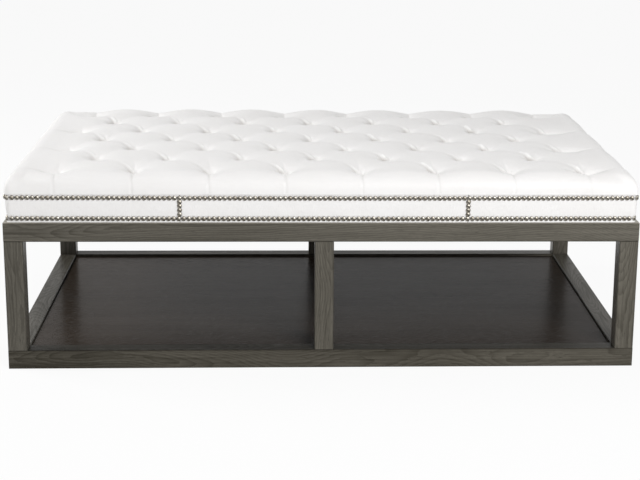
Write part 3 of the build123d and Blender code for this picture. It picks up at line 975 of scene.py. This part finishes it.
def swollen(piece, hold):
    """Blows the cover up a little in a cloth simulation, held where the hold is 1."""
    before = rows_of(piece.data.vertices)
    group = piece.vertex_groups.new(name="held")
    for level in np.unique(np.round(hold, 2)):
        if level > 0:
            group.add(np.flatnonzero(np.round(hold, 2) == level).tolist(), float(level), "REPLACE")
    bpy.ops.object.modifier_add(type="CLOTH")
    cloth = piece.modifiers[-1]
    for key, value in CLOTH.items():
        setattr(cloth.settings, key, value)
    cloth.settings.vertex_group_mass = group.name
    cloth.settings.effector_weights.gravity = 0
    cloth.point_cache.frame_start = 1
    cloth.point_cache.frame_end = CLOTH_FRAMES
    for step in range(1, CLOTH_FRAMES + 1):
        bpy.context.scene.frame_set(step)
    seen = piece.evaluated_get(bpy.context.evaluated_depsgraph_get())
    moved = rows_of(seen.data.vertices) - before
    bpy.ops.object.modifier_remove(modifier=cloth.name)
    bpy.context.scene.frame_set(1)
    far = np.linalg.norm(moved, axis=-1, keepdims=True)
    share = np.minimum(1, MOST_SWELL / np.maximum(far, 1e-9))
    place_corners(piece.data, before + moved * share)


def make_cover(context):
    """The whole cover: shaped, swollen by a cloth simulation, then pleated."""
    us = lay_out(TUFT_X, 14, FLAT_X, 10, 10)
    vs = lay_out(TUFT_Y, 6, FLAT_Y, 5, 10)
    u, v = np.meshgrid(us, vs)
    total = context.scene.ottoman_leather.puff + context.scene.ottoman_leather.pleat
    piece = shaped_grid(cover_surface(u, v, cover_height(u, v) - total))
    flat = piece.data.attributes.new("flat", "FLOAT_VECTOR", "POINT")
    places = np.stack([u, v, u * 0], axis=-1)
    flat.data.foreach_set("vector", places.reshape(-1).astype(np.float32))
    first, second = lattice(u, v)
    past = np.maximum(np.abs(u) - TUFT_X, np.abs(v) - TUFT_Y)
    knot = np.exp(-((hump(first) + hump(second)) / 0.10))
    crease = 0.55 * bell(np.minimum(hump(first), hump(second)), 0.10)
    beyond = np.maximum(np.abs(u) - FLAT_X, np.abs(v) - FLAT_Y)
    hold = np.where(past > 0, 0.3 * eased(past, 0, 0.02), np.maximum(knot, crease))
    hold = np.maximum(hold, eased(beyond, 0.055, 0.078))
    swollen(piece, hold.reshape(-1))
    bpy.ops.object.modifier_add(type="SUBSURF")
    smooth = piece.modifiers[-1]
    smooth.levels = 1
    smooth.boundary_smooth = "PRESERVE_CORNERS"
    bpy.ops.object.modifier_apply(modifier=smooth.name)
    add_pleats(piece.data)
    close_piece()
    bpy.ops.object.shade_smooth()
    return piece


def add_pleats(mesh):
    """Folds the hide at its pleats and puckers it round its tufts, and marks where shade and
    highlights are painted on it.
    """
    u, v = rows_of(mesh.attributes["flat"].data, "vector")[:, :2].T
    first, second = lattice(u, v)
    inside = (np.abs(u) < TUFT_X + 0.001) & (np.abs(v) < TUFT_Y + 0.001)
    to_first = (first - np.round(first)) * PLEAT_WIDE
    to_second = (second - np.round(second)) * PLEAT_WIDE
    from_tuft_first = (second - np.round(second)) * PLEAT_LONG
    from_tuft_second = (first - np.round(first)) * PLEAT_LONG
    tuft = np.round(first) * 7.3 + np.round(second) * 3.1
    lively = (1.0 + 0.42 * np.sin(5.7 * tuft)) * (1 + 0.50 * np.clip(u / TUFT_X, -1, 0.4))
    left, right = -to_first, -to_second
    up_left, down_right = np.maximum(-from_tuft_first, 0), np.maximum(from_tuft_first, 0)
    down_left, up_right = np.maximum(-from_tuft_second, 0), np.maximum(from_tuft_second, 0)
    rim = arm(up_left, 0.003, 0.016, 0.030 + 0.010 * np.sin(tuft), 0.070) * (from_tuft_first < 0)
    bend = 0.0030 * np.sin(2.1 * tuft) * np.sin(pi * up_left / 0.06)
    edge = left + bend
    step = FOLD * bell(edge + 0.0020, 0.0026) - FOLD * bell(edge - 0.0042, 0.0036)
    deep = lively * rim * step
    fold = arm(down_left, 0.002, 0.008, 0.022, 0.056) * (from_tuft_second < 0)
    step = 0.0014 * bell(right - 0.0045, 0.003) - 0.0030 * bell(right, 0.0024)
    deep += fold * lively * step
    for across, along in ((to_first, down_right), (to_second, up_right)):
        deep -= 0.0006 * bell(across, 0.003) * arm(along, 0.002, 0.008, 0.010, 0.030) * (along > 0)
    hollow = bell(np.hypot(left - 0.014, right - 0.008), 0.013)
    deep -= HOLLOW * lively * hollow
    pucker_angle = np.arctan2(to_second, to_first)
    away = np.hypot(to_first, to_second)
    deep -= PUCKER * bell(away, 0.009)
    waves = np.sin(7 * pucker_angle + tuft) * eased(away, 0.004, 0.012) * bell(away, 0.026)
    deep += 0.0005 * waves
    deep = np.where(inside, deep, 0)
    past_x, past_y = np.abs(u) - TUFT_X, np.abs(v) - TUFT_Y
    borders = (
        (past_y, u, PITCH_X, TUFT_X, 0.8 - 0.55 * (v > 0)),
        (past_x, v, 2 * PITCH_Y, TUFT_Y, 0.25),
    )
    for past, other, pitch, half, strength in borders:
        share = (other + half) / pitch
        step = (share - np.round(share)) * pitch
        crease = bell(step, 0.0028) - 0.5 * bell(step + 0.007, 0.0045)
        crease = -FLUTE * strength * crease * eased(past, -0.002, 0.004)
        crease = crease * (1 - 0.5 * eased(past, 0.05, 0.12))
        deep += np.where((past > -0.002) & (np.abs(other) < half + 0.02), crease, 0)
    over = np.maximum(np.abs(u) - FLAT_X, np.abs(v) - FLAT_Y)
    deep *= over < FOOT - 0.001
    outward = rows_of(mesh.vertices, "normal")
    place_corners(mesh, rows_of(mesh.vertices) + outward * deep[:, None])
    # Painted shade: darker in the creases of the folds, in the hollow beside each tuft and in the
    # border's pleats, fainter at the right of the front
    dark = 0.45 * rim * bell(edge - 0.0038, 0.0026) + 0.85 * fold * bell(right, 0.0023)
    dark += 0.60 * bell(np.hypot(left - 0.003, right - 0.003), 0.007)
    dark += 0.85 * bell(np.hypot(left - 0.012, right - 0.009), 0.011)
    border = np.clip(-deep / FLUTE, 0, 1) * (0.38 - 0.24 * eased(u, 0.0, 0.45) * (v < 0))
    dark = np.where(inside, dark * (0.3 + 0.7 * lively), border)
    # Painted highlight on the rim of each fold
    painted_highlight = np.where(inside, 1.2 * lively * rim * bell(edge + 0.0022, 0.0022), 0)
    mark(mesh, "pleat", dark)
    mark(mesh, "stretch", painted_highlight)


def arm(along, start, full, fading, end):
    """A fold along a pleat: it rises by its tuft and fades towards the next."""
    return eased(along, start, full) * (1 - eased(along, fading, end))


class OTTOMAN_OT_tufted_cover(bpy.types.Operator):
    """Make the diamond-tufted leather cover"""

    bl_idname = "ottoman.tufted_cover"
    bl_label = "Tufted cover"

    def execute(self, context):
        piece = make_cover(context)
        leather = leather_material("cover_leather", tufted=True)
        finish_piece(piece, "tufted_cover_leather", leather, ["tufted_cover"])
        return {"FINISHED"}


def tuft_places():
    """Where the tufts are, in plan."""
    found = []
    for row in range(7):
        count = 8 - row % 2
        for place in range(count):
            found.append(((place - (count - 1) / 2) * PITCH_X, (row - 3) * PITCH_Y))
    return found


class OTTOMAN_OT_foam_and_ties(bpy.types.Operator):
    """Make the foam slab and the twine ties of the tufts"""

    bl_idname = "ottoman.foam_and_ties"
    bl_label = "Foam and ties"

    def execute(self, context):
        low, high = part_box("foam_slab")
        x, y = np.meshgrid(np.linspace(low.x, high.x, 122), np.linspace(low.y, high.y, 76))
        top = np.full_like(x, high.z - 0.0002)
        for place in tuft_places():
            away = np.hypot(x - place[0], y - place[1])
            top -= 0.0030 * bell(away, 0.018)
        slab = shaped_grid(np.stack([x, y, top], axis=-1))
        thicken(slab, high.z - low.z - 0.0004, -1)
        foam = plain_grain_material("seat_foam", (0.78, 0.72, 0.48), 0.9, 900.0, 0.0006)
        finish_piece(slab, "foam_slab_block", foam, ["foam_slab"])
        self.ties()
        return {"FINISHED"}

    def ties(self):
        low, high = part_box("tuft_ties")
        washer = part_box("tuft_washers")[0].z
        rings, sides, thread = 15, 5, 0.0009
        steps = np.linspace(0, 1, rings)
        around = np.linspace(0, 2 * pi, sides + 1)[:-1]
        z = np.repeat((washer - 0.001 + (high.z - washer) * steps)[:, None], sides, axis=1)
        shapes, faces = [], []
        for strand in (0, pi):
            twist = (6 * pi * steps + strand)[:, None]
            x = thread * np.cos(twist) + thread * np.cos(around)
            y = thread * np.sin(twist) + thread * np.sin(around)
            start = len(shapes) * rings * sides
            shapes.append(np.stack([x, y, z], axis=-1).reshape(-1, 3))
            for row in range(rings - 1):
                for side in range(sides):
                    a, b = (start + row * sides + i for i in (side, (side + 1) % sides))
                    faces.append((a, b, b + sides, a + sides))
            first = range(start, start + sides)
            faces.extend([first[::-1], [i + (rings - 1) * sides for i in first]])
        knot = added(bpy.ops.mesh.primitive_uv_sphere_add, segments=8, ring_count=5, radius=0.002)
        start = len(shapes) * rings * sides
        shapes.append(rows_of(knot.data.vertices) + (0, 0, (low.z + washer) / 2))
        faces.extend([start + i for i in face.vertices] for face in knot.data.polygons)
        bpy.data.objects.remove(knot)
        shape = np.concatenate(shapes)
        ties = copies_piece("tie_twine", [shape + (x, y, 0) for x, y in tuft_places()], faces)
        bpy.ops.object.shade_smooth()
        twine = cloth_material("waxed_twine", (0.62, 0.55, 0.42), 1500.0, 0.8)
        finish_piece(ties, "tie_twine", twine, ["tuft_ties"])


# Decorative nails

ROW_SAG = 0.0012


class OTTOMAN_OT_nails(bpy.types.Operator):
    """Drive two rows of decorative nails round the band, and the upright lines"""

    bl_idname = "ottoman.nails"
    bl_label = "Decorative nails"

    def execute(self, context):
        sizes = context.scene.ottoman_nails
        head = nail_head(sizes)
        nickel = ((0.44, 0.415, 0.365), (0.29, 0.26, 0.215))
        metal = metal_material("antique_nickel", *nickel, 0.42, 0.07, dome_shade_painted=True)
        for name, z in (("nails_upper_row", sizes.upper), ("nails_lower_row", sizes.lower)):
            inset = band_inset(z)
            total = ring_path(inset)[2][-1]
            count = int(round(total / sizes.pitch))
            points, ways = along_ring(inset, (np.arange(count) + 0.5) * total / count)
            x, y = points.T
            facing = np.abs(ways[:, 1]) > 0.9
            sag = ROW_SAG * (1 - (x / HALF_X) ** 2) * np.maximum(1 - (y / HALF_Y) ** 2, facing)
            drive_nails(head, np.column_stack([x, y, z - sag]), ways, name, metal)
        uprights, ways = [], []
        gap = (sizes.upper - sizes.lower) / (sizes.between + 1)
        for side in (-1, 1):
            for x in (-SEAM_X, SEAM_X):
                for step in range(1, sizes.between + 1):
                    z = sizes.lower + step * gap
                    uprights.append((x, side * (HALF_Y - band_inset(z) + 0.0006), z))
                    ways.append((0, side))
        drive_nails(head, uprights, ways, "nails_uprights", metal)
        bpy.data.objects.remove(head)
        return {"FINISHED"}


def nail_head(sizes):
    """One domed head, its axis along Z."""
    radius = sizes.head / 2
    head = added(bpy.ops.mesh.primitive_uv_sphere_add, segments=10, ring_count=8, radius=radius)
    bpy.ops.object.mode_set(mode="EDIT")
    bpy.ops.mesh.select_all(action="SELECT")
    bpy.ops.mesh.bisect(plane_co=(0, 0, 0), plane_no=(0, 0, 1), clear_inner=True, use_fill=True)
    bpy.ops.mesh.select_all(action="SELECT")
    bpy.ops.transform.resize(value=(1, 1, 2 * sizes.rise / sizes.head))
    bpy.ops.object.mode_set(mode="OBJECT")
    return head


def drive_nails(head, places, ways, name, metal):
    """Copies of the head, each on its place and facing its way, as one row."""
    shape = rows_of(head.data.vertices)
    faces = [tuple(face.vertices) for face in head.data.polygons]
    source = np.random.default_rng(len(places))
    copies = []
    for place, way in zip(places, ways):
        out = Vector((way[0], way[1], 0)).normalized()
        tilt = source.normal(0, 0.05, 2)
        out = (out + Vector((0, 0, tilt[0]))).normalized()
        turn = out.to_track_quat("Z", "Y").to_matrix()
        copies.append(shape @ np.array(turn).T + np.array(place))
    piece = copies_piece(name, copies, faces)
    bpy.ops.object.shade_smooth_by_angle(angle=radians(50))
    # Painted shade on each head, set by the way the light falls: a dark band across the dome and a
    # dark crescent at its upper right stand in for its shading and reflections
    radius = np.abs(shape[:, 0]).max()
    lit = (0.62 * shape[:, 0] + 0.78 * shape[:, 1]) / radius
    rim = 1 - shape[:, 2] / shape[:, 2].max()
    dark_metal = np.maximum(bell(lit + 0.16, 0.32), 0.85 * bell(lit - 0.80, 0.22) * eased(rim, 0.3, 0.7))
    mark(piece.data, "painted_dome_shade", np.tile(dark_metal, len(copies)))
    finish_piece(piece, name, metal)


# Stage

# The camera was fitted to the frame's edges in the photograph: its turn is pitch, yaw and roll
CAMERA_PLACE = (-0.09758, -4.1135, 1.24363)
CAMERA_TURN = (0.24814, 0.05686, -0.01334)
FOCAL_PIXELS = 1563.2
CENTRE_PIXEL = 370
PHOTO_WIDTH = 640
SENSOR = 36
FLOOR_GLOW = 0.92
WORLD_GLOW = 0.64
WORLD_LIGHT = 0.36


def lit_share(tree, share):
    """A share for what the camera and reflections see, and 0 for other light."""
    path = tree.node("LightPath").outputs
    seen = tree.calc(path["Is Camera Ray"], "MAXIMUM", path["Is Glossy Ray"])
    return tree.calc(seen, "*", share)


class OTTOMAN_OT_stage(bpy.types.Operator):
    """Set the floor, the soft lights and the camera"""

    bl_idname = "ottoman.stage"
    bl_label = "Stage"

    def execute(self, context):
        scene = context.scene
        scene.view_settings.view_transform = "Standard"
        self.floor()
        self.world(scene)
        self.lights()
        self.camera(scene)
        return {"FINISHED"}

    def floor(self):
        floor = added(bpy.ops.mesh.primitive_plane_add, size=40, location=(0, 0, 0))
        floor.name = "floor"
        made, tree, shader, _ = new_material("pale_floor", 0.9, Specular_IOR_Level=0.0)
        shader.inputs["Base Color"].default_value = (0.80, 0.80, 0.80, 1)
        glow = tree.node("Emission", {"Color": (1, 1, 1, 1), "Strength": 1.0})
        shaders = {0: lit_share(tree, FLOOR_GLOW), 1: shader.outputs[0], 2: glow.outputs[0]}
        mixed = tree.node("MixShader", shaders)
        out = next(n for n in tree.nodes if n.type == "OUTPUT_MATERIAL")
        tree.join(out, {"Surface": mixed.outputs[0]})
        floor.data.materials.append(made)

    def world(self, scene):
        world = bpy.data.worlds.new("studio")
        scene.world = world
        world.use_nodes = True
        world.node_tree.nodes.clear()
        tree = Tree(world.node_tree)
        strength = tree.calc(lit_share(tree, WORLD_GLOW), "+", WORLD_LIGHT)
        back = tree.node("Background", {"Color": (1, 1, 1, 1), "Strength": strength})
        tree.node("OutputWorld", {0: back.outputs[0]})

    def lights(self):
        for name, place, aim, size, energy in (
            ("front_light", (1.6, -3.8, 2.75), (0, -0.2, 0.3), 2.0, 143),
            ("left_light", (-3.4, 0.6, 2.3), (0, 0, 0.4), 1.5, 82),
        ):
            turn = (Vector(aim) - Vector(place)).to_track_quat("-Z", "Y").to_euler()
            light = added(bpy.ops.object.light_add, type="AREA", location=place, rotation=turn)
            light.name = name
            light.data.size = size
            light.data.energy = energy

    def camera(self, scene):
        pitch, yaw, roll = CAMERA_TURN
        turn = Matrix.Rotation(-yaw, 3, "Z") @ Matrix.Rotation(pi / 2 - pitch, 3, "X")
        turn = (turn @ Matrix.Rotation(-roll, 3, "Z")).to_euler()
        camera = added(bpy.ops.object.camera_add, location=CAMERA_PLACE, rotation=turn)
        camera.name = "photo_camera"
        camera.data.sensor_width = SENSOR
        camera.data.lens = FOCAL_PIXELS / PHOTO_WIDTH * SENSOR
        camera.data.shift_x = (PHOTO_WIDTH / 2 - CENTRE_PIXEL) / PHOTO_WIDTH
        camera.data.clip_end = 100
        scene.camera = camera


class OTTOMAN_PT_panel(bpy.types.Panel):
    """Lists the steps"""

    bl_idname = "OTTOMAN_PT_panel"
    bl_label = "Ottoman"
    bl_space_type = "VIEW_3D"
    bl_region_type = "UI"
    bl_category = "Ottoman"

    def draw(self, context):
        for step in STEPS:
            self.layout.operator(step)
        for name in SETTINGS:
            values = getattr(context.scene, name)
            for key in values.bl_rna.properties.keys():
                if key not in ("rna_type", "name"):
                    self.layout.prop(values, key)


OPERATORS = (
    OTTOMAN_OT_oak_frame,
    OTTOMAN_OT_shelf,
    OTTOMAN_OT_inner_parts,
    OTTOMAN_OT_dust_cover,
    OTTOMAN_OT_foam_and_ties,
    OTTOMAN_OT_band,
    OTTOMAN_OT_tufted_cover,
    OTTOMAN_OT_nails,
    OTTOMAN_OT_stage,
)
STEPS = [operator.bl_idname for operator in OPERATORS]
SETTINGS = {"ottoman_leather": LeatherSizes, "ottoman_nails": NailSizes, "ottoman_oak": OakLooks}
CLASSES = (*SETTINGS.values(), *OPERATORS, OTTOMAN_PT_panel)


def register():
    for made in CLASSES:
        bpy.utils.register_class(made)
    for name, kind in SETTINGS.items():
        setattr(bpy.types.Scene, name, PointerProperty(type=kind))


def unregister():
    for name in SETTINGS:
        delattr(bpy.types.Scene, name)
    for made in reversed(CLASSES):
        bpy.utils.unregister_class(made)


def main():
    register()
    for step in STEPS:
        family, name = step.split(".")
        getattr(getattr(bpy.ops, family), name)()


if __name__ == "__main__":
    main()
